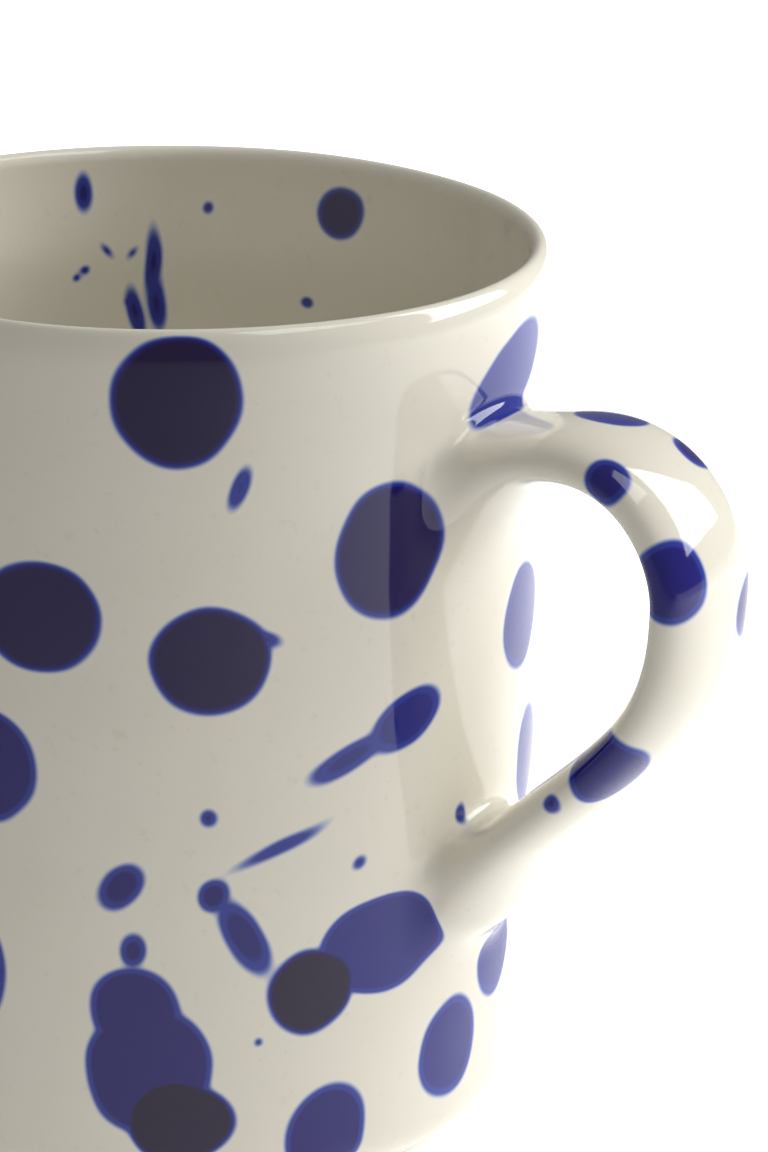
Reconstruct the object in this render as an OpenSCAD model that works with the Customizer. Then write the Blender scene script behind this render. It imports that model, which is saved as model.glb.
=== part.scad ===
// Stoneware mug: a thrown cup and a strap handle, joined with slip and coated in glaze.
// The cup's axis is Z, the table is at Z = 0 and the handle points along +X.

/* [Cup] */
// Height from the table to the top of the lip
cup_height = 98; // [92:1:106]
// Outside diameter just under the lip
rim_diameter = 82; // [80:0.5:88]
// Outside diameter just above the rounded bottom edge
base_diameter = 77.4; // [74:0.2:80]
// How far the wall swells outwards halfway up
wall_bulge = 0.6; // [0:0.1:1.5]
// Thickness of the glazed wall below the lip
wall_thickness = 3.6; // [3.2:0.1:4.5]
// Thickness of the glazed floor
floor_thickness = 4.8; // [4:0.1:6]
// Radius of the rounded bottom edge outside
bottom_radius = 6.4; // [5:0.2:8]
// Radius of the corner inside, between wall and floor
inside_radius = 9; // [6:0.5:14]

/* [Lip] */
// Thickness of the glazed wall just below the top of the lip
lip_thickness = 2.6; // [2.4:0.1:3.1]
// Distance from the outside wall in to the highest line of the lip
lip_crest_inset = 1.5; // [1.2:0.1:1.6]
// Height of the rounding outside the lip
lip_outer_height = 3.5; // [2:0.1:5]
// Height of the rounding inside the lip
lip_inner_height = 1.6; // [1.2:0.1:2]

/* [Foot] */
// Height of the bare clay foot ring
foot_height = 0.8; // [0.6:0.1:1.5]
// Width of the foot ring's resting face
foot_width = 5; // [4:0.5:7]
// Distance from the rounded bottom edge in to the foot ring
foot_step = 0.6; // [0.4:0.1:1.5]
// Height of the recess under the floor
recess_height = 1.4; // [1:0.1:2]

/* [Handle] */
// Width of the glazed strap
handle_width = 17; // [14:0.5:19]
// Thickness of the glazed strap
handle_thickness = 6.2; // [5.4:0.2:8]
// Distance from the cup's axis to the middle of the strap where it stands furthest out
handle_reach = 66; // [62:0.5:72]
// Height at which the strap's middle line enters the wall at the top
upper_root_height = 77.5; // [74:0.5:79]
// Height at which the strap's middle line enters the wall at the bottom
lower_root_height = 30; // [26:0.5:34]
// How much thicker the strap grows where it meets the wall
root_flare = 5; // [2:0.5:6]

/* [Coats] */
// Thickness of the fired glaze
glaze_thickness = 0.4; // [0.3:0.05:0.6]
// Thickness of the slip between a handle end and the wall
slip_thickness = 0.7; // [0.5:0.1:1]

/* [Hidden] */

$fn = 96;

// Cup: radii and heights of the glazed shape
rim_r = rim_diameter / 2;
base_r = base_diameter / 2;
base_z = foot_height + bottom_radius;
shoulder_z = cup_height - lip_outer_height;
crest_r = rim_r - lip_crest_inset;
inner_lip_z = cup_height - lip_inner_height;
floor_z = recess_height + floor_thickness;
inside_corner_z = floor_z + inside_radius;
bottom_arc_r = base_r - bottom_radius;
foot_r = bottom_arc_r - foot_step;
foot_edge = 0.4;        // bevel on both edges of the foot ring
thickening = 12;        // height over which the wall thickens below the lip
glaze_end_angle = 74;   // how far round the bottom edge the outside glaze runs
arc_steps = 6;
wall_steps = 6;

// Handle: the strap's middle line is two curves that meet where it stands furthest out
root_x = 36;
bend_z = 69.5;
upper_curve = [[root_x, upper_root_height - 1.5], [56.5, 91.5], [handle_reach, 77], [handle_reach, bend_z]];
lower_curve = [[handle_reach, bend_z], [handle_reach, 53.5], [58, 51.5], [root_x, lower_root_height - 1]];
curve_steps = 13;
section_steps = 16;
section_power = 0.88;   // 1 is an ellipse, less is squarer
flare_reach = 9;        // distance from the wall over which the strap flares
width_flare = 0.3;      // the width flares by this share of the thickness's flare
root_depth = 5;         // how far the strap's ends run on inside the wall
root_rings = 7;         // rings that pass through the wall at each end

function span(a, b, n) = [for (i = [0:n]) a + (b - a) * i / n];
function reverse(list) = [for (i = [len(list) - 1:-1:0]) list[i]];
function smooth(t) = t * t * (3 - 2 * t);

// Radius of the glazed outside wall at height z
function wall_r(z) =
    let (t = (z - base_z) / (shoulder_z - base_z))
    base_r + (rim_r - base_r) * t + wall_bulge * 4 * t * (1 - t);

// Thickness of the glazed wall at height z
function wall_t(z) =
    let (t = min(1, max(0, (inner_lip_z - z) / thickening)))
    lip_thickness + (wall_thickness - lip_thickness) * smooth(t);

function inner_r(z) = wall_r(z) - wall_t(z);

// Outside outline from the top of the lip down to end_angle round the bottom edge.
// inset is the depth below the glazed surface.
function outside(inset, end_angle) = concat(
    [for (a = span(90, 0, arc_steps))
        [crest_r + (lip_crest_inset - inset) * cos(a), shoulder_z + (lip_outer_height - inset) * sin(a)]],
    [for (z = span(shoulder_z, base_z, wall_steps + 1)) if (z < shoulder_z && z > base_z)
        [wall_r(z) - inset, z]],
    [for (a = span(0, -end_angle, arc_steps))
        [bottom_arc_r + (bottom_radius - inset) * cos(a), base_z + (bottom_radius - inset) * sin(a)]]);

// Inside outline from the top of the lip down to the middle of the floor
function inside(inset) = concat(
    [for (a = span(90, 0, arc_steps))
        [crest_r - (lip_thickness - lip_crest_inset - inset) * cos(a),
         inner_lip_z + (lip_inner_height - inset) * sin(a)]],
    [for (z = span(inner_lip_z, inner_lip_z - thickening, 4)) if (z < inner_lip_z) [inner_r(z) + inset, z]],
    [for (z = span(inner_lip_z - thickening, inside_corner_z, wall_steps))
        if (z < inner_lip_z - thickening && z > inside_corner_z) [inner_r(z) + inset, z]],
    [for (a = span(0, -90, arc_steps))
        [inner_r(inside_corner_z) - inside_radius + (inside_radius + inset) * cos(a),
         inside_corner_z + (inside_radius + inset) * sin(a)]],
    [[0, floor_z - inset]]);

// Everything inside the outside outline, as if the cup were full
module full_cup(inset) {
    rotate(180)
    rotate_extrude()
        polygon(concat(outside(inset, 90), [[0, base_z - bottom_radius + inset], [0, cup_height - inset]]));
}

function bezier(p, t) =
    pow(1 - t, 3) * p[0] + 3 * pow(1 - t, 2) * t * p[1] + 3 * (1 - t) * t * t * p[2] + pow(t, 3) * p[3];

function bezier_slope(p, t) =
    3 * pow(1 - t, 2) * (p[1] - p[0]) + 6 * (1 - t) * t * (p[2] - p[1]) + 3 * t * t * (p[3] - p[2]);

function unit(v) = v / norm(v);

// Stations along the strap's middle line: [point, direction]. The first and last lie deep in the wall.
entry = bezier_slope(upper_curve, 0);
exit = bezier_slope(lower_curve, 1);
stations = concat(
    [[upper_curve[0] - root_depth * unit(entry), entry]],
    [for (t = span(0, 1, curve_steps)) [bezier(upper_curve, t), bezier_slope(upper_curve, t)]],
    [for (t = span(0, 1, curve_steps)) if (t > 0) [bezier(lower_curve, t), bezier_slope(lower_curve, t)]],
    [[lower_curve[3] + root_depth * unit(exit), exit]]);

function power(v) = sign(v) * pow(abs(v), section_power);

// One ring of points round the strap at a station
function ring(station, inset) =
    let (
        p = station[0],
        d = unit(station[1]),
        beyond = p[0] - wall_r(p[1]),
        flare = root_flare * pow(max(0, 1 - max(0, beyond) / flare_reach), 2),
        half_t = (handle_thickness + flare) / 2 - inset,
        half_w = (handle_width + flare * width_flare) / 2 - inset
    )
    [for (i = [0:section_steps - 1])
        let (a = 360 * i / section_steps, u = half_t * power(cos(a)))
        [p[0] - d[1] * u, half_w * power(sin(a)), p[1] + d[0] * u]];

// Triangles between ring k and ring k + 1, for rings of section_steps points from index start
function band(k, start = 0) = [
    for (i = [0:section_steps - 1])
    let (
        j = (i + 1) % section_steps,
        a = start + k * section_steps,
        b = a + section_steps
    )
    each [[a + i, a + j, b + j], [a + i, b + j, b + i]]
];

function flipped(faces) = [for (f = faces) reverse(f)];

// Solid strap between two stations
module strap(inset, first = 0, last = len(stations) - 1) {
    count = last - first;
    points = [for (k = [first:last]) each ring(stations[k], inset)];
    sides = [for (k = [0:count - 1]) each band(k)];
    start_cap = [for (i = [section_steps - 1:-1:0]) i];
    end_cap = [for (i = [0:section_steps - 1]) count * section_steps + i];
    polyhedron(points, concat(sides, [start_cap], [end_cap]), convexity = 6);
}

// Hollow skin round the whole strap, as thick as the glaze
module strap_skin() {
    count = len(stations) - 1;
    outer = [for (s = stations) each ring(s, 0)];
    inner = [for (s = stations) each ring(s, glaze_thickness)];
    inner_start = len(outer);
    sides = [for (k = [0:count - 1]) each concat(band(k), flipped(band(k, inner_start)))];
    start_rim = [for (i = [0:section_steps - 1])
        let (j = (i + 1) % section_steps)
        each [[j, i, inner_start + i], [j, inner_start + i, inner_start + j]]];
    end_rim = [for (i = [0:section_steps - 1])
        let (j = (i + 1) % section_steps, a = count * section_steps)
        each [[a + i, a + j, a + inner_start + j], [a + i, a + inner_start + j, a + inner_start + i]]];
    polyhedron(concat(outer, inner), concat(sides, start_rim, end_rim), convexity = 8);
}

// Ends of the strap where it passes through the wall
module upper_end(inset) {
    strap(inset, 0, root_rings);
}

module lower_end(inset) {
    strap(inset, len(stations) - 1 - root_rings, len(stations) - 1);
}

// Layer of slip on the cup's clay wall
module slip_layer() {
    difference() {
        full_cup(glaze_thickness - slip_thickness);
        full_cup(glaze_thickness);
    }
}

module cup_clay() {
    inner_foot_r = foot_r - foot_width;
    color("Wheat")
    rotate_extrude()
        polygon(concat(
            outside(glaze_thickness, 90),
            [
                [foot_r, base_z - bottom_radius + glaze_thickness],
                [foot_r, foot_edge],
                [foot_r - foot_edge, 0],
                [inner_foot_r + foot_edge, 0],
                [inner_foot_r, foot_edge],
                [inner_foot_r, recess_height],
                [0, recess_height]
            ],
            reverse(inside(glaze_thickness))));
}

module handle_clay() {
    color("Tan")
    difference() {
        strap(glaze_thickness);
        full_cup(glaze_thickness - slip_thickness);
    }
}

module upper_slip() {
    color("BurlyWood")
    intersection() {
        upper_end(glaze_thickness);
        slip_layer();
    }
}

module lower_slip() {
    color("BurlyWood")
    intersection() {
        lower_end(glaze_thickness);
        slip_layer();
    }
}

module liner_glaze() {
    color("OldLace")
    rotate_extrude()
        polygon(concat(inside(0), reverse(inside(glaze_thickness))));
}

module wall_glaze() {
    color("Ivory")
    difference() {
        rotate(180)
        rotate_extrude()
            polygon(concat(
                outside(0, glaze_end_angle),
                reverse(outside(glaze_thickness, glaze_end_angle))));
        upper_end(0);
        lower_end(0);
    }
}

module handle_glaze() {
    color("MediumBlue")
    difference() {
        strap_skin();
        full_cup(glaze_thickness);
    }
}

cup_clay();
handle_clay();
upper_slip();
lower_slip();
liner_glaze();
wall_glaze();
handle_glaze();
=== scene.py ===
import math
import random

import bmesh
import bpy
import numpy as np
from mathutils import Euler, Matrix, Vector


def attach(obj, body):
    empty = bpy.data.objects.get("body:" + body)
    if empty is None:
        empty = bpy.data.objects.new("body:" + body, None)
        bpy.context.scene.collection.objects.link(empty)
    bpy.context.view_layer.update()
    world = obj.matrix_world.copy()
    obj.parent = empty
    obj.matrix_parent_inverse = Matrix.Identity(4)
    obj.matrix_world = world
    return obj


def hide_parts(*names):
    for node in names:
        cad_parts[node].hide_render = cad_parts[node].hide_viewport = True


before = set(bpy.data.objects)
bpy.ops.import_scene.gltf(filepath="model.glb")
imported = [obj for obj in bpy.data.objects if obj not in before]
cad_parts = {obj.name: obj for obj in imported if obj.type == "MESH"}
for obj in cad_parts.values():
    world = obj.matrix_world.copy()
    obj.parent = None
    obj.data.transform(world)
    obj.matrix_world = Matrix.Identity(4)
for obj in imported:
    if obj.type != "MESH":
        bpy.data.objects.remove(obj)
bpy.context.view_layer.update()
MM = 0.001


# ---------------------------------------------------------------------------------------------
# Clay cup. Thrown on the wheel from pale stoneware clay, then turned underneath to leave a foot
# ring. Glaze covers all of it but the foot ring and the recess inside the ring.

LIP_TOP = 98 * MM
SHOULDER = 94.5 * MM         # height where the lip's rounding starts outside
INNER_SHOULDER = 96.4 * MM   # and inside
WALL_FOOT = 7.2 * MM         # height where the wall turns under
BASE_RADIUS = 38.7 * MM
RIM_RADIUS = 41 * MM
BELLY = 0.6 * MM             # how far the wall swells out halfway up
CREST_RADIUS = 39.5 * MM     # the lip's highest line
LIP_THICKNESS = 2.6 * MM
WALL_THICKNESS = 3.6 * MM
THICKENING = 12 * MM         # height over which the wall thickens below the lip
BOTTOM_CORNER = 6.4 * MM
INSIDE_CORNER = 9 * MM
FLOOR = 6.2 * MM
GLAZE = 0.4 * MM             # thickness of the coat over the clay
FOOT_OUTSIDE = 31.7 * MM
FOOT_WIDTH = 5 * MM
FOOT_BEVEL = 0.4 * MM
RECESS = 1.4 * MM
CUP_STEPS = 256              # faces round the cup
WALL_ROWS = 88               # faces up the outside wall


def ease(t):
    t = np.clip(t, 0, 1)
    return t * t * (3 - 2 * t)


def wall_radius(z):
    """Radius of the glazed outside wall at height z."""
    t = (z - WALL_FOOT) / (SHOULDER - WALL_FOOT)
    return BASE_RADIUS + (RIM_RADIUS - BASE_RADIUS) * t + BELLY * 4 * t * (1 - t)


def bore_radius(z):
    """Radius of the glazed inside wall at height z."""
    thickness = LIP_THICKNESS + (WALL_THICKNESS - LIP_THICKNESS) * ease((INNER_SHOULDER - z) / THICKENING)
    return wall_radius(z) - thickness


def arc(centre, half_sizes, start, end, steps):
    """Points on an ellipse between two angles in degrees."""
    middle_r, middle_z = centre
    half_r, half_z = half_sizes
    angles = np.radians(np.linspace(start, end, steps + 1))
    return [(middle_r + half_r * math.cos(a), middle_z + half_z * math.sin(a)) for a in angles]


def outside_outline(under, end_angle):
    """Outline from the bottom edge up to the top of the lip, that far under the glazed surface."""
    corner = BOTTOM_CORNER - under
    rounding = (RIM_RADIUS - CREST_RADIUS - under, LIP_TOP - SHOULDER - under)
    heights = np.linspace(WALL_FOOT, SHOULDER, WALL_ROWS + 1)[1:-1]
    return (
        arc((BASE_RADIUS - BOTTOM_CORNER, WALL_FOOT), (corner, corner), -end_angle, 0, 12)
        + [(wall_radius(z) - under, z) for z in heights]
        + arc((CREST_RADIUS, SHOULDER), rounding, 0, 90, 14)
    )


def inside_outline(under):
    """Outline from the top of the lip down the inside to the middle of the floor."""
    inner_lip = LIP_THICKNESS - (RIM_RADIUS - CREST_RADIUS) - under
    corner = INSIDE_CORNER + under
    corner_z = FLOOR + INSIDE_CORNER
    corner_r = bore_radius(corner_z) - INSIDE_CORNER
    heights = np.linspace(INNER_SHOULDER, corner_z, 66)[1:-1]
    floor_radii = np.linspace(corner_r, 0, 20)[1:]
    return (
        arc((CREST_RADIUS, INNER_SHOULDER), (inner_lip, LIP_TOP - INNER_SHOULDER - under), 90, 180, 10)[1:]
        + [(bore_radius(z) + under, z) for z in heights]
        + arc((corner_r, corner_z), (corner, corner), 0, -90, 14)
        + [(r, FLOOR - under) for r in floor_radii]
    )


def make_spin_tree():
    """Geometry Nodes tree that turns an outline of edges into a closed skin round the cup's axis."""
    tree = bpy.data.node_groups.new("spun_outline", "GeometryNodeTree")
    tree.interface.new_socket("Outline", in_out="INPUT", socket_type="NodeSocketGeometry")
    tree.interface.new_socket("Steps Around", in_out="INPUT", socket_type="NodeSocketInt")
    tree.interface.new_socket("Material", in_out="INPUT", socket_type="NodeSocketMaterial")
    tree.interface.new_socket("Skin", in_out="OUTPUT", socket_type="NodeSocketGeometry")
    add, link = tree.nodes.new, tree.links.new
    inputs, output = add("NodeGroupInput"), add("NodeGroupOutput")

    def math_node(operation, a, b):
        node = add("ShaderNodeMath")
        node.operation = operation
        for socket, value in zip(node.inputs, (a, b)):
            if isinstance(value, bpy.types.NodeSocket):
                link(value, socket)
            else:
                socket.default_value = value
        return node.outputs["Value"]

    # One column of grid points for each step round, one row for each point of the outline
    size = add("GeometryNodeAttributeDomainSize")
    link(inputs.outputs["Outline"], size.inputs["Geometry"])
    grid = add("GeometryNodeMeshGrid")
    link(math_node("ADD", inputs.outputs["Steps Around"], 1), grid.inputs["Vertices X"])
    link(size.outputs["Point Count"], grid.inputs["Vertices Y"])
    index = add("GeometryNodeInputIndex").outputs["Index"]
    columns_passed = math_node("DIVIDE", math_node("ADD", index, 0.5), size.outputs["Point Count"])
    column = math_node("FLOOR", columns_passed, 0)
    row = math_node("SUBTRACT", index, math_node("MULTIPLY", column, size.outputs["Point Count"]))

    # Each grid point takes its outline point, turned to its column's angle
    sample = add("GeometryNodeSampleIndex")
    sample.data_type = "FLOAT_VECTOR"
    link(inputs.outputs["Outline"], sample.inputs["Geometry"])
    link(add("GeometryNodeInputPosition").outputs["Position"], sample.inputs["Value"])
    link(row, sample.inputs["Index"])
    turn = add("ShaderNodeVectorRotate")
    turn.rotation_type = "Z_AXIS"
    link(sample.outputs["Value"], turn.inputs["Vector"])
    step_angle = math_node("DIVIDE", math.tau, inputs.outputs["Steps Around"])
    link(math_node("MULTIPLY", column, step_angle), turn.inputs["Angle"])
    place = add("GeometryNodeSetPosition")
    link(grid.outputs["Mesh"], place.inputs["Geometry"])
    link(turn.outputs["Vector"], place.inputs["Position"])

    # The first and last columns, and the points on the axis, become one
    merge = add("GeometryNodeMergeByDistance")
    merge.inputs["Distance"].default_value = 0.001 * MM
    smooth = add("GeometryNodeSetShadeSmooth")
    realize = add("GeometryNodeRealizeInstances")
    paint = add("GeometryNodeSetMaterial")
    link(place.outputs["Geometry"], merge.inputs["Geometry"])
    link(merge.outputs["Geometry"], smooth.inputs["Geometry"])
    link(smooth.outputs["Geometry"], realize.inputs["Geometry"])
    link(realize.outputs["Geometry"], paint.inputs["Geometry"])
    link(inputs.outputs["Material"], paint.inputs["Material"])
    link(paint.outputs["Geometry"], output.inputs["Skin"])
    return tree


def evaluated_mesh(name, obj, material):
    """A plain mesh object holding what obj's modifiers make. obj itself is removed."""
    bpy.context.view_layer.update()
    graph = bpy.context.evaluated_depsgraph_get()
    mesh = bpy.data.meshes.new_from_object(obj.evaluated_get(graph))
    bpy.data.objects.remove(obj)
    mesh.name = name
    mesh.materials.clear()
    mesh.materials.append(material)
    made = bpy.data.objects.new(name, mesh)
    bpy.context.scene.collection.objects.link(made)
    return made


def set_input(modifier, name, value):
    sockets = modifier.node_group.interface.items_tree
    identifier = next(s.identifier for s in sockets if s.name == name and s.in_out == "INPUT")
    modifier[identifier] = value


def spun(name, outline, material):
    """The skin that an outline of (radius, height) points makes round the cup's axis."""
    mesh = bpy.data.meshes.new(name + "_outline")
    edges = [(i, i + 1) for i in range(len(outline) - 1)]
    mesh.from_pydata([(r, 0, z) for r, z in outline], edges, [])
    obj = bpy.data.objects.new(name + "_outline", mesh)
    bpy.context.scene.collection.objects.link(obj)
    modifier = obj.modifiers.new("spin", "NODES")
    modifier.node_group = spin_tree
    set_input(modifier, "Steps Around", CUP_STEPS)
    set_input(modifier, "Material", material)
    return evaluated_mesh(name, obj, material)


def face_outwards(obj):
    """Recalculates the normals of a closed mesh or of a skin, turned so that its highest face points up."""
    work = bmesh.new()
    work.from_mesh(obj.data)
    bmesh.ops.remove_doubles(work, verts=work.verts, dist=0.002 * MM)
    bmesh.ops.recalc_face_normals(work, faces=work.faces)
    highest = max(work.faces, key=lambda f: f.calc_center_median().z)
    if highest.normal.z < 0:
        bmesh.ops.reverse_faces(work, faces=work.faces)
    work.to_mesh(obj.data)
    work.free()
    for polygon in obj.data.polygons:
        polygon.use_smooth = True


def new_material(name):
    material = bpy.data.materials.new(name)
    material.use_nodes = True
    return material, material.node_tree, material.node_tree.nodes["Principled BSDF"]


# Fired clay: warm buff, matt, with a fine sandy grain and a few darker specks
clay, clay_nodes, clay_shader = new_material("fired_clay")
clay_place = clay_nodes.nodes.new("ShaderNodeTexCoord")
clay_grain = clay_nodes.nodes.new("ShaderNodeTexNoise")
clay_grain.inputs["Scale"].default_value = 900
clay_grain.inputs["Detail"].default_value = 4
clay_colour = clay_nodes.nodes.new("ShaderNodeValToRGB")
clay_colour.color_ramp.elements[0].position = 0.3
clay_colour.color_ramp.elements[0].color = (0.36, 0.24, 0.14, 1)
clay_colour.color_ramp.elements[1].position = 0.55
clay_colour.color_ramp.elements[1].color = (0.60, 0.46, 0.31, 1)
clay_bump = clay_nodes.nodes.new("ShaderNodeBump")
clay_bump.inputs["Distance"].default_value = 0.06 * MM
clay_nodes.links.new(clay_place.outputs["Object"], clay_grain.inputs["Vector"])
clay_nodes.links.new(clay_grain.outputs["Fac"], clay_colour.inputs["Fac"])
clay_nodes.links.new(clay_colour.outputs["Color"], clay_shader.inputs["Base Color"])
clay_nodes.links.new(clay_grain.outputs["Fac"], clay_bump.inputs["Height"])
clay_nodes.links.new(clay_bump.outputs["Normal"], clay_shader.inputs["Normal"])
clay_shader.inputs["Roughness"].default_value = 0.85

spin_tree = make_spin_tree()
foot_inside = FOOT_OUTSIDE - FOOT_WIDTH
clay_outline = (
    [(0, RECESS), (foot_inside, RECESS), (foot_inside, FOOT_BEVEL), (foot_inside + FOOT_BEVEL, 0)]
    + [(FOOT_OUTSIDE - FOOT_BEVEL, 0), (FOOT_OUTSIDE, FOOT_BEVEL)]
    + [(FOOT_OUTSIDE, WALL_FOOT - BOTTOM_CORNER + GLAZE)]
    + outside_outline(GLAZE, 90)
    + inside_outline(GLAZE)
)
clay_cup = spun("thrown_cup", clay_outline, clay)
face_outwards(clay_cup)
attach(clay_cup, "root")
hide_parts("cup_clay")


# ---------------------------------------------------------------------------------------------
# Handle and slip. The strap is pulled from the same clay and stuck on with slip. Both stay as the
# CAD made them, since the glaze hides them.

slip, slip_nodes, slip_shader = new_material("fired_slip")
slip_place = slip_nodes.nodes.new("ShaderNodeTexCoord")
slip_grain = slip_nodes.nodes.new("ShaderNodeTexNoise")
slip_grain.inputs["Scale"].default_value = 500
slip_colour = slip_nodes.nodes.new("ShaderNodeValToRGB")
slip_colour.color_ramp.elements[0].color = (0.44, 0.32, 0.20, 1)
slip_colour.color_ramp.elements[1].color = (0.56, 0.43, 0.29, 1)
slip_nodes.links.new(slip_place.outputs["Object"], slip_grain.inputs["Vector"])
slip_nodes.links.new(slip_grain.outputs["Fac"], slip_colour.inputs["Fac"])
slip_nodes.links.new(slip_colour.outputs["Color"], slip_shader.inputs["Base Color"])
slip_shader.inputs["Roughness"].default_value = 0.9

for node, material in (("handle_clay", clay), ("upper_slip", slip), ("lower_slip", slip)):
    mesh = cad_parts[node].data
    mesh.materials.clear()
    mesh.materials.append(material)


# ---------------------------------------------------------------------------------------------
# Glaze. The mug is dipped, so one glossy coat runs over the lip, down both sides of the wall and
# all round the handle. It fills the angles at the handle's roots with soft curves and stops short
# of the foot.

UPPER_CURVE = np.array([(36, 76), (56.5, 91.5), (66, 77), (66, 69.5)]) * MM   # strap's middle line, x and z
LOWER_CURVE = np.array([(66, 69.5), (66, 53.5), (58, 51.5), (36, 29)]) * MM
STRAP_WIDTH = 17 * MM
STRAP_THICKNESS = 6.2 * MM
SECTION_POWER = 0.88         # 1 is an ellipse, less is squarer
ROOT_FLARE = 5 * MM          # how much thicker the strap grows at the wall
FLARE_REACH = 9 * MM
WIDTH_FLARE = 0.3
WINDOW = 28                  # faces of the wall left out at each root, both ways
UPPER_WINDOW_ROW = 58        # lowest wall row left out at the upper root
LOWER_WINDOW_ROW = 12
STRAP_ROWS = 110
FILLET_ROWS = 10
BORDER_ROWS = 4              # rows between a fillet and the window's edge
UPPER_FILLETS = (2.5 * MM, 3.5 * MM, 7 * MM)    # above, beside and below the root
LOWER_FILLETS = (4 * MM, 3.5 * MM, 3 * MM)
GLAZE_END_ANGLE = 74         # how far the coat runs round the bottom edge


def bezier(points, t):
    t = t[..., None]
    s = 1 - t
    return s**3 * points[0] + 3 * s**2 * t * points[1] + 3 * s * t**2 * points[2] + t**3 * points[3]


def bezier_slope(points, t):
    t = t[..., None]
    s = 1 - t
    return (
        3 * s**2 * (points[1] - points[0])
        + 6 * s * t * (points[2] - points[1])
        + 3 * t**2 * (points[3] - points[2])
    )


def strap_points(way, around):
    """Points on the strap: way runs 0 to 2 along the middle line, around is the angle in its section."""
    upper = (way < 1)[..., None]
    t_upper, t_lower = np.minimum(way, 1), np.maximum(way - 1, 0)
    middle = np.where(upper, bezier(UPPER_CURVE, t_upper), bezier(LOWER_CURVE, t_lower))
    along = np.where(upper, bezier_slope(UPPER_CURVE, t_upper), bezier_slope(LOWER_CURVE, t_lower))
    along = along / np.linalg.norm(along, axis=-1, keepdims=True)
    beyond = np.maximum(0, middle[..., 0] - wall_radius(middle[..., 1]))
    flare = ROOT_FLARE * np.maximum(0, 1 - beyond / FLARE_REACH) ** 2
    half_thickness = (STRAP_THICKNESS + flare) / 2
    half_width = (STRAP_WIDTH + flare * WIDTH_FLARE) / 2
    cosine, sine = np.cos(around), np.sin(around)
    out = half_thickness * np.sign(cosine) * np.abs(cosine) ** SECTION_POWER
    across = half_width * np.sign(sine) * np.abs(sine) ** SECTION_POWER
    return np.stack([middle[..., 0] - along[..., 1] * out, across, middle[..., 1] + along[..., 0] * out], -1)


def unrolled(points):
    """Points as (distance round the wall, height, distance out from the wall)."""
    radius = np.hypot(points[..., 0], points[..., 1])
    angle = np.arctan2(points[..., 1], points[..., 0])
    return np.stack([angle * RIM_RADIUS, points[..., 2], radius - wall_radius(points[..., 2])], -1)


def rolled(points):
    """The inverse of unrolled."""
    angle = points[..., 0] / RIM_RADIUS
    radius = wall_radius(points[..., 1]) + points[..., 2]
    return np.stack([radius * np.cos(angle), radius * np.sin(angle), points[..., 1]], -1)


def window_edge(lowest_row, upright):
    """The wall's own points round a left-out window, from the middle of its top edge, or of its bottom
    edge if not upright, first towards +Y."""
    half = WINDOW // 2
    step = math.tau / CUP_STEPS * RIM_RADIUS
    heights = np.linspace(WALL_FOOT, SHOULDER, WALL_ROWS + 1)
    low, high = lowest_row, lowest_row + WINDOW
    corners = (
        [(i, high) for i in range(half)]
        + [(half, j) for j in range(high, low, -1)]
        + [(i, low) for i in range(half, -half, -1)]
        + [(-half, j) for j in range(low, high)]
        + [(i, high) for i in range(-half, 0)]
    )
    if not upright:
        corners = [(i, low + high - j) for i, j in corners]
    return np.array([(i * step, heights[j], 0) for i, j in corners])


SECTION_STEPS = 4 * WINDOW
AROUND = np.arange(SECTION_STEPS) * math.tau / SECTION_STEPS


def root(ways, fillets, lowest_row, upright):
    """Rows of points from the strap down into the wall at one root, and where each line leaves the strap.
    ways runs from well inside the wall outwards. upright is whether the section's first point is on top."""
    lines = strap_points(ways[None, :] + 0 * AROUND[:, None], AROUND[:, None] + 0 * ways[None, :])
    flat = unrolled(lines)
    above, beside, below = fillets
    up = np.cos(AROUND) if upright else -np.cos(AROUND)
    upper_share = np.maximum(0, up) ** 1.5
    lower_share = np.maximum(0, -up) ** 1.5
    sizes = beside + (above - beside) * upper_share + (below - beside) * lower_share
    contacts, leaving, leaving_way = [], [], []
    for line, size in zip(flat, sizes):
        first = int(np.argmax(line[:, 2] > 0))
        share = line[first - 1, 2] / (line[first - 1, 2] - line[first, 2])
        contact = line[first - 1] + share * (line[first] - line[first - 1])
        steps = np.linalg.norm(np.diff(np.vstack([contact, line[first:]]), axis=0), axis=1)
        travelled = np.cumsum(steps)
        leaving_way.append(np.interp(size, travelled, ways[first:]))
        leaving.append([np.interp(size, travelled, line[first:, k]) for k in range(3)])
        contacts.append([contact[0], contact[1], 0])
    contacts, leaving, leaving_way = np.array(contacts), np.array(leaving), np.array(leaving_way)
    outwards = contacts - contacts.mean(axis=0)
    outwards /= np.linalg.norm(outwards, axis=1, keepdims=True)
    landing = contacts + outwards * sizes[:, None]
    edge = window_edge(lowest_row, upright)
    rows = []
    for t in np.linspace(0, 1, FILLET_ROWS + 1):
        rows.append(rolled((1 - t) ** 2 * leaving + 2 * t * (1 - t) * contacts + t**2 * landing))
    for t in np.linspace(0, 1, BORDER_ROWS + 1)[1:]:
        rows.append(rolled((1 - t) * landing + t * edge))
    return rows, leaving_way


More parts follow.
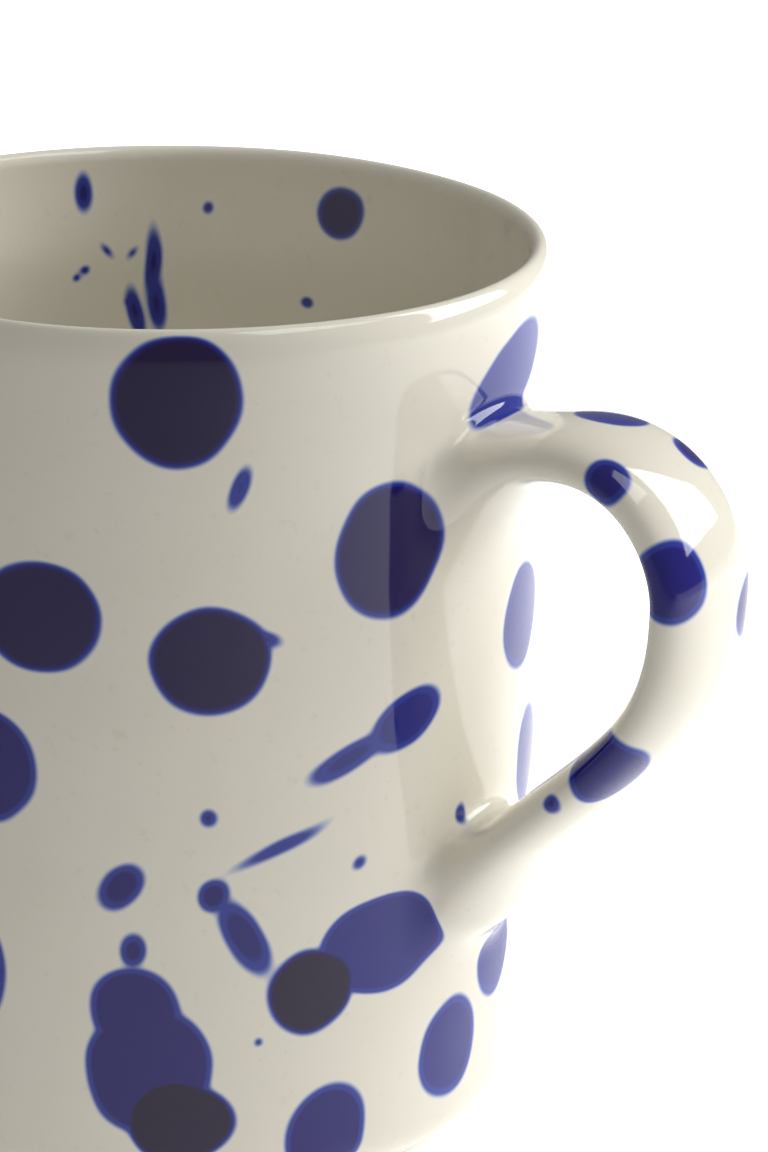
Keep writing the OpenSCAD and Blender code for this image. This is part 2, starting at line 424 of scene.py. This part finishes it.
def glaze_mesh(material):
    """The coat over cup and handle as one skin."""
    end = math.radians(GLAZE_END_ANGLE)
    turned_under = arc(
        (
            BASE_RADIUS - BOTTOM_CORNER + (BOTTOM_CORNER - GLAZE / 2) * math.cos(end),
            WALL_FOOT - (BOTTOM_CORNER - GLAZE / 2) * math.sin(end),
        ),
        (GLAZE * 0.75, GLAZE * 0.55), 150, 270 + 15, 5,
    )
    outline = turned_under + outside_outline(0, GLAZE_END_ANGLE) + inside_outline(0)
    coat = spun("glaze_coat", outline, material)

    # Leave out the wall behind the two roots
    work = bmesh.new()
    work.from_mesh(coat.data)
    heights = np.linspace(WALL_FOOT, SHOULDER, WALL_ROWS + 1)
    half_angle = math.tau / CUP_STEPS * WINDOW / 2
    behind = []
    for face in work.faces:
        centre = face.calc_center_median()
        if math.hypot(centre.x, centre.y) < wall_radius(centre.z) - LIP_THICKNESS / 2:
            continue
        if abs(math.atan2(centre.y, centre.x)) > half_angle:
            continue
        for row in (UPPER_WINDOW_ROW, LOWER_WINDOW_ROW):
            if heights[row] < centre.z < heights[row + WINDOW]:
                behind.append(face)
    bmesh.ops.delete(work, geom=behind, context="FACES")

    # The strap, and the fillets that carry it into the wall
    upper_rows, upper_ways = root(np.linspace(-0.12, 0.6, 361), UPPER_FILLETS, UPPER_WINDOW_ROW, True)
    lower_rows, lower_ways = root(np.linspace(2.12, 1.4, 361), LOWER_FILLETS, LOWER_WINDOW_ROW, False)
    strap_rows = []
    for t in np.linspace(0, 1, STRAP_ROWS + 1)[1:-1]:
        strap_rows.append(strap_points(upper_ways + (lower_ways - upper_ways) * t, AROUND))
    rows = upper_rows[::-1] + strap_rows + lower_rows
    made = [[work.verts.new(point) for point in row] for row in rows]
    for row, following in zip(made, made[1:]):
        for i in range(SECTION_STEPS):
            j = (i + 1) % SECTION_STEPS
            work.faces.new((row[i], row[j], following[j], following[i]))
    bmesh.ops.remove_doubles(work, verts=work.verts, dist=0.005 * MM)
    work.to_mesh(coat.data)
    work.free()
    face_outwards(coat)
    return coat


def make_uneven_tree():
    """Geometry Nodes tree for the slight unevenness that throwing by hand leaves in a surface."""
    tree = bpy.data.node_groups.new("thrown_unevenness", "GeometryNodeTree")
    tree.interface.new_socket("Surface", in_out="INPUT", socket_type="NodeSocketGeometry")
    tree.interface.new_socket("Depth", in_out="INPUT", socket_type="NodeSocketFloat")
    tree.interface.new_socket("Ripples", in_out="INPUT", socket_type="NodeSocketVector")
    tree.interface.new_socket("Material", in_out="INPUT", socket_type="NodeSocketMaterial")
    tree.interface.new_socket("Surface", in_out="OUTPUT", socket_type="NodeSocketGeometry")
    add, link = tree.nodes.new, tree.links.new
    inputs, output = add("NodeGroupInput"), add("NodeGroupOutput")
    stretch = add("ShaderNodeVectorMath")
    stretch.operation = "MULTIPLY"
    link(add("GeometryNodeInputPosition").outputs["Position"], stretch.inputs[0])
    link(inputs.outputs["Ripples"], stretch.inputs[1])
    ripple = add("ShaderNodeTexNoise")
    ripple.inputs["Scale"].default_value = 1
    ripple.inputs["Detail"].default_value = 1
    link(stretch.outputs["Vector"], ripple.inputs["Vector"])
    centred = add("ShaderNodeMath")
    centred.operation = "SUBTRACT"
    centred.inputs[1].default_value = 0.5
    link(ripple.outputs["Fac"], centred.inputs[0])
    amount = add("ShaderNodeMath")
    amount.operation = "MULTIPLY"
    link(centred.outputs["Value"], amount.inputs[0])
    link(inputs.outputs["Depth"], amount.inputs[1])
    offset = add("ShaderNodeVectorMath")
    offset.operation = "SCALE"
    link(add("GeometryNodeInputNormal").outputs["Normal"], offset.inputs["Vector"])
    link(amount.outputs["Value"], offset.inputs["Scale"])
    place = add("GeometryNodeSetPosition")
    realize = add("GeometryNodeRealizeInstances")
    paint = add("GeometryNodeSetMaterial")
    link(inputs.outputs["Surface"], place.inputs["Geometry"])
    link(offset.outputs["Vector"], place.inputs["Offset"])
    link(place.outputs["Geometry"], realize.inputs["Geometry"])
    link(realize.outputs["Geometry"], paint.inputs["Geometry"])
    link(inputs.outputs["Material"], paint.inputs["Material"])
    link(paint.outputs["Geometry"], output.inputs["Surface"])
    return tree


glaze = bpy.data.materials.new("front_glaze")
smooth_coat = glaze_mesh(glaze)
uneven = smooth_coat.modifiers.new("uneven", "NODES")
uneven.node_group = make_uneven_tree()
set_input(uneven, "Depth", 0.5 * MM)
set_input(uneven, "Ripples", (26, 26, 60))
set_input(uneven, "Material", glaze)
coat = evaluated_mesh("glaze", smooth_coat, glaze)
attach(coat, "root")
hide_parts("liner_glaze", "wall_glaze", "handle_glaze")


# ---------------------------------------------------------------------------------------------
# Cobalt splashes. Blue is flicked from a loaded brush onto the raw glaze and fires into it: round
# drops with soft pale edges, tails where a drop flew past, and near-black blue where drops overlap.

DROP_DEPTH = 2.4 * MM        # how far a drop reaches into the surface, less than the wall's thickness
BLEND = 0.9                  # mm over which two touching drops run together
PALE_EDGE = 0.45             # mm round a drop that its paint may still tint
BUILD_UP = 1.1               # how fast the blue builds up inwards from a drop's edge
NO_DROP_YET = -10            # a depth well outside any drop, in mm
OUTLINE_WAVER = 1.8 * MM     # most that a drop's outline wavers, from its innermost to its outermost
WAVER_SCALE = 90

CREAM = (0.80, 0.765, 0.67, 1)
CREAM_SPECK = (0.70, 0.65, 0.53, 1)
CREAM_CLOUD = (0.76, 0.71, 0.60, 1)
PALE_BLUE = (0.25, 0.32, 0.60, 1)
THIN_BLUE = (0.026, 0.04, 0.32, 1)
COBALT = (0.013, 0.009, 0.16, 1)
NAVY = (0.011, 0.003, 0.055, 1)
NEAR_BLACK = (0.010, 0.003, 0.034, 1)

# Each drop on the outside wall: angle round the cup from the handle in degrees, height, half width
# and half length in mm, lean from upright in degrees, thickness of the blue
WALL_DROPS = [
    (-55, 91, 7, 7, 0, 1.7), (-22, 73, 7, 7.5, 0, 1.4), (-75, 67, 7, 6, 0, 1.5), (-50, 63, 6.5, 6, 0, 1.6),
    (-84, 50, 6, 6.5, 0, 1), (-61, 24, 5, 5, 0, 1), (-59, 17, 7, 8, 0, 1), (-54, 11, 6, 5, 0, 2),
    (-33, 25, 5, 5, 0, 2.2), (-21, 29, 8, 6, 0, 0.8), (-87, 27, 4, 7, 0, 1), (-30, 8, 5, 6, 0, 1),
    (-5, 14, 5, 6, 0, 0.8), (12, 60, 5, 6, 0, 0.7), (18, 43, 4, 6, 0, 0.7), (8, 22, 4, 5, 0, 0.7),
    (4, 88, 4, 9, 65, 0.6), (-18, 54, 3, 5, 65, 0.8), (-28, 51, 1.5, 5, 70, 0.8), (-39, 42, 0.8, 5, 65, 1),
    (-44, 32, 2, 5, -30, 0.9), (-49, 37, 1.8, 1.8, 0, 1), (-63, 38, 2, 3, 40, 1), (-61, 31, 1.5, 2, 0, 1),
]
# The same on the inside wall
BORE_DROPS = [
    (94, 92, 3, 3, 0, 1.4), (128, 85, 1, 4, 0, 1), (131, 79, 1, 3, 10, 1), (127, 80, 1, 3, 0, 1),
    (140, 93, 1, 2, 0, 1.2),
]
# Drops on the strap: how far along it, from 0 to 2, degrees round it from the top, half size in mm and
# thickness
STRAP_DROPS = [
    (0.33, 20, 4, 0.7), (0.5, -70, 2.5, 0.9), (0.55, 40, 2.5, 1), (0.88, -60, 4.5, 0.9),
    (1.05, 45, 3.5, 1), (1.5, -65, 5, 0.9), (1.66, -90, 1, 1),
]
# Sizes in mm of the drops scattered at random: a drop's half width and half length before it is
# stretched. Away from the front they are a few big drops, more middling ones and many specks.
SCATTER = random.Random(11)
DROP_SIZES = [6.2, 5.6, 5.2, 4.4, 3.6] + [2.6, 2, 1.6] * 3 + [1.1, 0.8, 0.6, 0.4] * 4
LEFT_BORE_SIZES = [3.4, 2.4, 1.6, 1.2, 0.9, 0.6, 0.5, 0.4]
RIGHT_BORE_SIZES = [2.6, 1.8, 1.4, 1, 0.6, 0.5, 0.4]
LOW_BORE_SIZES = [2.2, 1.4, 1, 0.7, 0.5]
SPECK_SIZES = [1.5, 1.3, 1.1, 1, 0.9, 0.8, 0.7, 0.6, 0.5, 0.4, 0.4]
BORE_SPECK_SIZES = [0.7, 0.6, 0.5, 0.5, 0.4, 0.4, 0.3]
STRAP_SIZES = [3.2, 2.6, 2, 1.2, 0.9]


def scattered(sizes, first_angle, last_angle, lowest, highest):
    """Drops of those sizes, some stretched, at random over part of a wall."""
    drops = []
    for size in sizes:
        stretch = SCATTER.choice((1, 1, 1.1, 1.3, 2.2 if size < 3 else 1.2))
        angle = SCATTER.uniform(first_angle, last_angle)
        height = SCATTER.uniform(lowest, highest)
        lean = SCATTER.uniform(-80, 80)
        thickness = SCATTER.choice((0.7, 1, 1.2, 1.6))
        half_width = size / math.sqrt(stretch)
        half_length = size * math.sqrt(stretch)
        drops.append((angle, height, half_width, half_length, lean, thickness))
    return drops


WALL_DROPS += scattered(DROP_SIZES, 30, 110, 8, 92)
WALL_DROPS += scattered(DROP_SIZES, 110, 190, 8, 92)
WALL_DROPS += scattered(DROP_SIZES, 190, 272, 8, 92)
BORE_DROPS += scattered(LEFT_BORE_SIZES, 170, 300, 25, 94)
BORE_DROPS += scattered(RIGHT_BORE_SIZES, -60, 80, 25, 92)
BORE_DROPS += scattered(LOW_BORE_SIZES, 80, 170, 20, 74)
WALL_DROPS += scattered(SPECK_SIZES, -105, 0, 12, 82)
BORE_DROPS += scattered(BORE_SPECK_SIZES, 85, 160, 80, 97)
for size in STRAP_SIZES:
    STRAP_DROPS.append((SCATTER.uniform(0.1, 1.9), SCATTER.uniform(60, 200), size, 1))


def make_drop_group():
    """Shader node group that adds one drop to a splash pattern: how far inside the blue's edge a point
    lies, in mm, and how much blue lies there."""
    group = bpy.data.node_groups.new("cobalt_drop", "ShaderNodeTree")
    for name, kind in (
        ("Position", "Vector"), ("Place", "Vector"), ("Turn", "Vector"), ("Half Sizes", "Vector"),
        ("Reach", "Float"), ("Thickness", "Float"), ("Depth Before", "Float"), ("Load Before", "Float"),
    ):
        group.interface.new_socket(name, in_out="INPUT", socket_type="NodeSocket" + kind)
    group.interface.new_socket("Depth", in_out="OUTPUT", socket_type="NodeSocketFloat")
    group.interface.new_socket("Load", in_out="OUTPUT", socket_type="NodeSocketFloat")
    add, link = group.nodes.new, group.links.new
    inputs, output = add("NodeGroupInput"), add("NodeGroupOutput")
    inside = add("ShaderNodeMapping")
    inside.vector_type = "TEXTURE"
    link(inputs.outputs["Position"], inside.inputs["Vector"])
    link(inputs.outputs["Place"], inside.inputs["Location"])
    link(inputs.outputs["Turn"], inside.inputs["Rotation"])
    link(inputs.outputs["Half Sizes"], inside.inputs["Scale"])
    length = add("ShaderNodeVectorMath")
    length.operation = "LENGTH"
    link(inside.outputs["Vector"], length.inputs[0])
    from_edge = add("ShaderNodeMath")
    from_edge.operation = "SUBTRACT"
    from_edge.inputs[0].default_value = 1
    link(length.outputs["Value"], from_edge.inputs[1])
    depth = add("ShaderNodeMath")
    depth.operation = "MULTIPLY"
    link(from_edge.outputs["Value"], depth.inputs[0])
    link(inputs.outputs["Reach"], depth.inputs[1])
    joined = add("ShaderNodeMath")
    joined.operation = "SMOOTH_MAX"
    joined.inputs[2].default_value = BLEND
    link(depth.outputs["Value"], joined.inputs[0])
    link(inputs.outputs["Depth Before"], joined.inputs[1])
    share = add("ShaderNodeMath")
    share.operation = "MULTIPLY"
    share.use_clamp = True
    share.inputs[1].default_value = BUILD_UP
    link(depth.outputs["Value"], share.inputs[0])
    own_load = add("ShaderNodeMath")
    own_load.operation = "MULTIPLY"
    link(share.outputs["Value"], own_load.inputs[0])
    link(inputs.outputs["Thickness"], own_load.inputs[1])
    load = add("ShaderNodeMath")
    load.operation = "MAXIMUM"
    link(own_load.outputs["Value"], load.inputs[0])
    link(inputs.outputs["Load Before"], load.inputs[1])
    link(joined.outputs["Value"], output.inputs["Depth"])
    link(load.outputs["Value"], output.inputs["Load"])
    return group


def all_drops():
    """Every drop as its place, turn and half sizes in metres, its reach in mm and its thickness."""
    drops = []
    for on_wall, radius in ((WALL_DROPS, wall_radius), (BORE_DROPS, bore_radius)):
        for angle, height, half_width, half_length, lean, thickness in on_wall:
            turn = math.radians(angle)
            distance = radius(height * MM)
            place = (distance * math.cos(turn), distance * math.sin(turn), height * MM)
            half_sizes = (min(DROP_DEPTH, 2 * half_width * MM), half_width * MM, half_length * MM)
            drops.append((place, (-math.radians(lean), 0, turn), half_sizes, half_width, thickness))
    for way, around, half_size, thickness in STRAP_DROPS:
        place = strap_points(np.array([way]), np.radians([around]))[0].tolist()
        drops.append((place, (0, 0, 0), (half_size * MM,) * 3, half_size, thickness))
    return drops


def touches(drop, points):
    """Whether a drop or its pale edge reaches any of these points of the surface."""
    place, turn, half_sizes = (np.array(part) for part in drop[:3])
    axes = np.array(Euler(turn).to_matrix())
    nearest = np.min(np.linalg.norm((points - place) @ axes / half_sizes, axis=1))
    return (1 - nearest) * drop[3] > -PALE_EDGE


def make_splash_group(name, drops):
    """Shader node group of several drops: depth inside the blue's edge in mm, and the blue's load."""
    group = bpy.data.node_groups.new(name, "ShaderNodeTree")
    group.interface.new_socket("Position", in_out="INPUT", socket_type="NodeSocketVector")
    group.interface.new_socket("Depth", in_out="OUTPUT", socket_type="NodeSocketFloat")
    group.interface.new_socket("Load", in_out="OUTPUT", socket_type="NodeSocketFloat")
    inputs = group.nodes.new("NodeGroupInput")
    output = group.nodes.new("NodeGroupOutput")
    before = None
    for place, turn, half_sizes, reach, thickness in drops:
        drop = group.nodes.new("ShaderNodeGroup")
        drop.node_tree = drop_group
        drop.inputs["Place"].default_value = place
        drop.inputs["Turn"].default_value = turn
        drop.inputs["Half Sizes"].default_value = half_sizes
        drop.inputs["Reach"].default_value = reach
        drop.inputs["Thickness"].default_value = thickness
        group.links.new(inputs.outputs["Position"], drop.inputs["Position"])
        if before is None:
            drop.inputs["Depth Before"].default_value = NO_DROP_YET
        else:
            group.links.new(before.outputs["Depth"], drop.inputs["Depth Before"])
            group.links.new(before.outputs["Load"], drop.inputs["Load Before"])
        before = drop
    group.links.new(before.outputs["Depth"], output.inputs["Depth"])
    group.links.new(before.outputs["Load"], output.inputs["Load"])
    return group


def paint_glaze(material, drops):
    """Cream glaze with those drops on it."""
    material.use_nodes = True
    tree = material.node_tree
    shader = tree.nodes["Principled BSDF"]

    def fill(socket, value):
        if isinstance(value, bpy.types.NodeSocket):
            tree.links.new(value, socket)
        else:
            socket.default_value = value

    def noise(vector, scale, detail):
        node = tree.nodes.new("ShaderNodeTexNoise")
        fill(node.inputs["Vector"], vector)
        fill(node.inputs["Scale"], scale)
        fill(node.inputs["Detail"], detail)
        return node

    def vector_math(operation, first, second):
        node = tree.nodes.new("ShaderNodeVectorMath")
        node.operation = operation
        fill(node.inputs[0], first)
        fill(node.inputs["Scale" if operation == "SCALE" else 1], second)
        return node.outputs["Vector"]

    def faded(value, low, high, top=1.0, bottom=0.0):
        """Rises smoothly from bottom to top as value goes from low to high."""
        node = tree.nodes.new("ShaderNodeMapRange")
        node.interpolation_type = "SMOOTHSTEP"
        for name, part in (
            ("Value", value), ("From Min", low), ("From Max", high), ("To Min", bottom), ("To Max", top),
        ):
            fill(node.inputs[name], part)
        return node.outputs["Result"]

    def mixed(share, first, second):
        node = tree.nodes.new("ShaderNodeMix")
        node.data_type = "RGBA"
        colour_inputs = [socket for socket in node.inputs if socket.type == "RGBA"]
        fill(node.inputs[0], share)
        fill(colour_inputs[0], first)
        fill(colour_inputs[1], second)
        return next(socket for socket in node.outputs if socket.type == "RGBA")

    # The drops' outlines waver a little, so no drop is a true circle
    place = tree.nodes.new("ShaderNodeTexCoord").outputs["Object"]
    shift = vector_math("SUBTRACT", noise(place, WAVER_SCALE, 1).outputs["Color"], (0.5, 0.5, 0.5))
    splashes = tree.nodes.new("ShaderNodeGroup")
    splashes.node_tree = make_splash_group(material.name + "_splashes", drops)
    fill(splashes.inputs["Position"], vector_math("ADD", place, vector_math("SCALE", shift, OUTLINE_WAVER)))
    depth, load = splashes.outputs["Depth"], splashes.outputs["Load"]

    # Cream with a faint speckle, then the drops: pale edge, cobalt, and near-black where thick
    speckle, cloud = noise(place, 700, 3).outputs["Fac"], noise(place, 45, 2).outputs["Fac"]
    cream = mixed(faded(speckle, 0.6, 0.8, 0.5), CREAM, CREAM_SPECK)
    cream = mixed(faded(cloud, 0.4, 0.75, 0.25), cream, CREAM_CLOUD)
    colour = mixed(faded(depth, -0.35, 0.12), cream, PALE_BLUE)
    colour = mixed(faded(depth, -0.1, 0.3), colour, THIN_BLUE)
    colour = mixed(faded(load, 0.45, 1), colour, COBALT)
    colour = mixed(faded(load, 0.95, 1.7), colour, NAVY)
    colour = mixed(faded(load, 1.6, 2.1), colour, NEAR_BLACK)
    fill(shader.inputs["Base Color"], colour)

    # Glossy, with a little orange peel
    fill(shader.inputs["Roughness"], faded(cloud, 0, 1, 0.1, 0.04))
    bump = tree.nodes.new("ShaderNodeBump")
    fill(bump.inputs["Height"], noise(place, 260, 1).outputs["Fac"])
    fill(bump.inputs["Strength"], 0.25)
    fill(bump.inputs["Distance"], 0.05 * MM)
    fill(shader.inputs["Normal"], bump.outputs["Normal"])


# The coat is painted in four parts, each with the drops that reach it: the inside, and three parts of
# the outside that end at these angles round the cup from the handle
FRONT_END = 40
FAR_END = 150
LEFT_END = 255
drop_group = make_drop_group()
corners = np.array([vertex.co for vertex in coat.data.vertices])
centres = np.array([polygon.center for polygon in coat.data.polygons])
angles = np.degrees(np.arctan2(centres[:, 1], centres[:, 0])) % 360
in_bore = np.hypot(centres[:, 0], centres[:, 1]) < wall_radius(centres[:, 2]) - LIP_THICKNESS / 2
outside_part = np.select([angles < FRONT_END, angles < FAR_END, angles < LEFT_END], [0, 1, 2], 0)
part_of_face = np.where(in_bore, 3, outside_part)
for part, name in enumerate(("front_glaze", "far_glaze", "left_glaze", "inside_glaze")):
    material = glaze if part == 0 else bpy.data.materials.new(name)
    own_corners = sorted({
        corner for polygon in coat.data.polygons if part_of_face[polygon.index] == part
        for corner in polygon.vertices
    })
    drops = [drop for drop in all_drops() if touches(drop, corners[own_corners])]
    paint_glaze(material, drops)
    if part > 0:
        coat.data.materials.append(material)
coat.data.polygons.foreach_set("material_index", part_of_face.astype(np.int32))


# ---------------------------------------------------------------------------------------------
# Table, light and camera. None of this is part of the mug.

TABLE = 4                              # metres from the mug to each of the table's edges
floor_mesh = bpy.data.meshes.new("table")
table_corners = [(-TABLE, -TABLE, 0), (TABLE, -TABLE, 0), (TABLE, TABLE, 0), (-TABLE, TABLE, 0)]
floor_mesh.from_pydata(table_corners, [], [(0, 1, 2, 3)])
table = bpy.data.objects.new("table", floor_mesh)
bpy.context.scene.collection.objects.link(table)
CAMERA_SIDE = math.radians(34.5)       # how far round from -Y the camera stands
# Direction, round to the right behind the mug, towards which the paper's painted light grows brighter
bright_side = CAMERA_SIDE + math.radians(135)
paper, paper_nodes, paper_shader = new_material("white_paper_painted_light")
paper_shader.inputs["Base Color"].default_value = (0.85, 0.85, 0.85, 1)
paper_shader.inputs["Roughness"].default_value = 0.8
paper_shader.inputs["Emission Strength"].default_value = 1
paper_place = paper_nodes.nodes.new("ShaderNodeTexCoord")
paper_turn = paper_nodes.nodes.new("ShaderNodeMapping")
paper_turn.inputs["Rotation"].default_value = (0, 0, math.radians(90) - bright_side)
paper_axes = paper_nodes.nodes.new("ShaderNodeSeparateXYZ")
# Painted light: the paper glows by itself, from nothing at the front left to bright towards the right behind
# the mug, a painted pool of light standing in for lamp light on the floor
painted_light_glow = paper_nodes.nodes.new("ShaderNodeMapRange")
painted_light_glow.interpolation_type = "SMOOTHSTEP"
painted_light_glow.inputs["From Min"].default_value = -0.25
painted_light_glow.inputs["From Max"].default_value = 0.22
painted_light_glow.inputs["To Min"].default_value = 0.0
painted_light_glow.inputs["To Max"].default_value = 0.9
paper_nodes.links.new(paper_place.outputs["Object"], paper_turn.inputs["Vector"])
paper_nodes.links.new(paper_turn.outputs["Vector"], paper_axes.inputs["Vector"])
paper_nodes.links.new(paper_axes.outputs["X"], painted_light_glow.inputs["Value"])
paper_nodes.links.new(painted_light_glow.outputs["Result"], paper_shader.inputs["Emission Color"])
table.data.materials.append(paper)

world = bpy.data.worlds.new("studio")
world.use_nodes = True
world.node_tree.nodes["Background"].inputs["Color"].default_value = (1, 0.98, 0.94, 1)
world.node_tree.nodes["Background"].inputs["Strength"].default_value = 0.26
bpy.context.scene.world = world

CAMERA_RISE = math.radians(14.58)
CAMERA_DISTANCE = 600 * MM
CAMERA_TARGET = Vector((0, 0, 96.8 * MM))
CAMERA_HEADING = math.radians(32.2)    # it looks a little past the mug's axis
CAMERA_TILT = math.radians(17.98)      # and this far down
CAMERA_ROLL = math.radians(0.96)
LENS = 174                             # mm
towards_camera = Vector((
    math.sin(CAMERA_SIDE) * math.cos(CAMERA_RISE),
    -math.cos(CAMERA_SIDE) * math.cos(CAMERA_RISE),
    math.sin(CAMERA_RISE),
))
camera_data = bpy.data.cameras.new("camera")
camera_data.lens = LENS
camera_data.sensor_width = 36
camera_data.clip_start = 0.01
camera = bpy.data.objects.new("camera", camera_data)
camera.matrix_world = (
    Matrix.Translation(CAMERA_TARGET + towards_camera * CAMERA_DISTANCE)
    @ Matrix.Rotation(CAMERA_HEADING, 4, "Z")
    @ Matrix.Rotation(math.radians(90) - CAMERA_TILT, 4, "X")
    @ Matrix.Rotation(CAMERA_ROLL, 4, "Z")
)
bpy.context.scene.collection.objects.link(camera)
bpy.context.scene.camera = camera


def direction(side, rise):
    """Unit vector from the mug. side is degrees round from the camera, to its right; rise is above level."""
    turn = CAMERA_SIDE + math.radians(side)
    lift = math.radians(rise)
    return Vector((math.sin(turn) * math.cos(lift), -math.cos(turn) * math.cos(lift), math.sin(lift)))


LIGHT_TARGET = Vector((0.04, 0, 0.07))
PANE_DISTANCE = 0.9


def glowing_pane(name, corners, strength):
    """A bright pane with its corners in those directions from the mug."""
    mesh = bpy.data.meshes.new(name)
    places = [LIGHT_TARGET + direction(*corner) * PANE_DISTANCE for corner in corners]
    mesh.from_pydata(places, [], [tuple(range(len(corners)))])
    obj = bpy.data.objects.new(name, mesh)
    bpy.context.scene.collection.objects.link(obj)
    material, _, shader = new_material(name)
    shader.inputs["Base Color"].default_value = (0, 0, 0, 1)
    shader.inputs["Emission Color"].default_value = (1, 1, 0.98, 1)
    shader.inputs["Emission Strength"].default_value = strength
    mesh.materials.append(material)


glowing_pane("window", [(121, 62), (124, 26), (120, 12), (83, 14)], 7.5)
glowing_pane("ceiling", [(30, 50), (30, 75), (100, 75), (90, 50)], 3.6)
bpy.context.scene.view_settings.view_transform = "Standard"
